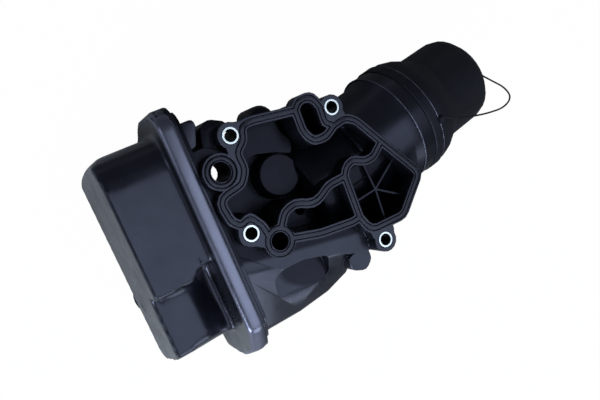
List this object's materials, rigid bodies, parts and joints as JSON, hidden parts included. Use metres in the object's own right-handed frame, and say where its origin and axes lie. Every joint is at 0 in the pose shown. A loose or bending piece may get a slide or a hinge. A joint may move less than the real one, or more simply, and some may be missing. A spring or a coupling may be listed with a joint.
{
  "type": "oil filter housing",
  "caption": "Moulded engine oil filter housing with a gasketed engine flange, a filter bowl with a screw cap and cartridge inside, and a crankcase oil separator box.",
  "frame": {"origin": "on the sealing plane of the engine flange, at the middle of the gasket", "axes": "+Z out of the flange towards the engine, +X along the filter towards its screw cap, +Y across the flange towards the sealed oil ring port"},
  "size_m": [0.3729, 0.1961, 0.1085],
  "materials": {
    "black_plastic": "satin",
    "matte_black_plastic": "matte",
    "seal_rubber": "matte",
    "sleeve_steel": "polished",
    "spring_steel": "satin",
    "filter_paper": "matte"
  },
  "bodies": {
    "housing": {"housing": "black_plastic", "flange_gasket": "seal_rubber", "ring_port_seal": "seal_rubber", "sleeve_top_left": "sleeve_steel", "sleeve_top_right": "sleeve_steel", "sleeve_bottom_left": "sleeve_steel", "sleeve_bottom_right": "sleeve_steel", "separator_cover": "black_plastic", "separator_baffle": "matte_black_plastic", "breather_valve_cap": "matte_black_plastic", "breather_spring": "spring_steel", "relief_valve_plug": "matte_black_plastic", "relief_spring": "spring_steel", "hose_connector": "black_plastic"},
    "cartridge": {"element_end_disc_inner": "matte_black_plastic", "element_end_disc_outer": "matte_black_plastic", "element_core": "matte_black_plastic", "element_pleats": "filter_paper", "bypass_cage": "matte_black_plastic", "bypass_spring": "spring_steel"},
    "cap": {"filter_cap": "matte_black_plastic", "cap_seal": "seal_rubber", "cap_tether": "matte_black_plastic"},
    "bypass_valve": {"bypass_poppet": "sleeve_steel"},
    "relief_valve": {"relief_piston": "sleeve_steel"},
    "breather_valve": {"breather_diaphragm": "seal_rubber"}
  },
  "joints": [
    {"name": "cartridge_slide", "type": "slide", "parent": "housing", "child": "cartridge", "axis": [1, 0, 0], "range_m": [0, 0.012]},
    {"name": "cap_turn", "type": "hinge", "parent": "cartridge", "child": "cap", "pos_m": [0.0924, 0, -0.058], "axis": [1, 0, 0], "range_deg": [0, 1080]},
    {"name": "bypass_slide", "type": "slide", "parent": "cartridge", "child": "bypass_valve", "axis": [-1, 0, 0], "range_m": [0, 0.004], "stiffness_N_per_m": 1500, "springref_m": -0.01, "deforming": ["bypass_spring"]},
    {"name": "relief_slide", "type": "slide", "parent": "housing", "child": "relief_valve", "axis": [0, 0, -1], "range_m": [0, 0.005], "stiffness_N_per_m": 1500, "springref_m": -0.01, "deforming": ["relief_spring"]},
    {"name": "breather_slide", "type": "slide", "parent": "housing", "child": "breather_valve", "axis": [0, 0, 1], "range_m": [0, 0.0025], "stiffness_N_per_m": 100, "springref_m": -0.002, "deforming": ["breather_spring"]}
  ],
  "couplings": [
    {"joint": "cartridge_slide", "follows": "cap_turn", "m_per_rad": 0.0006366}
  ]
}
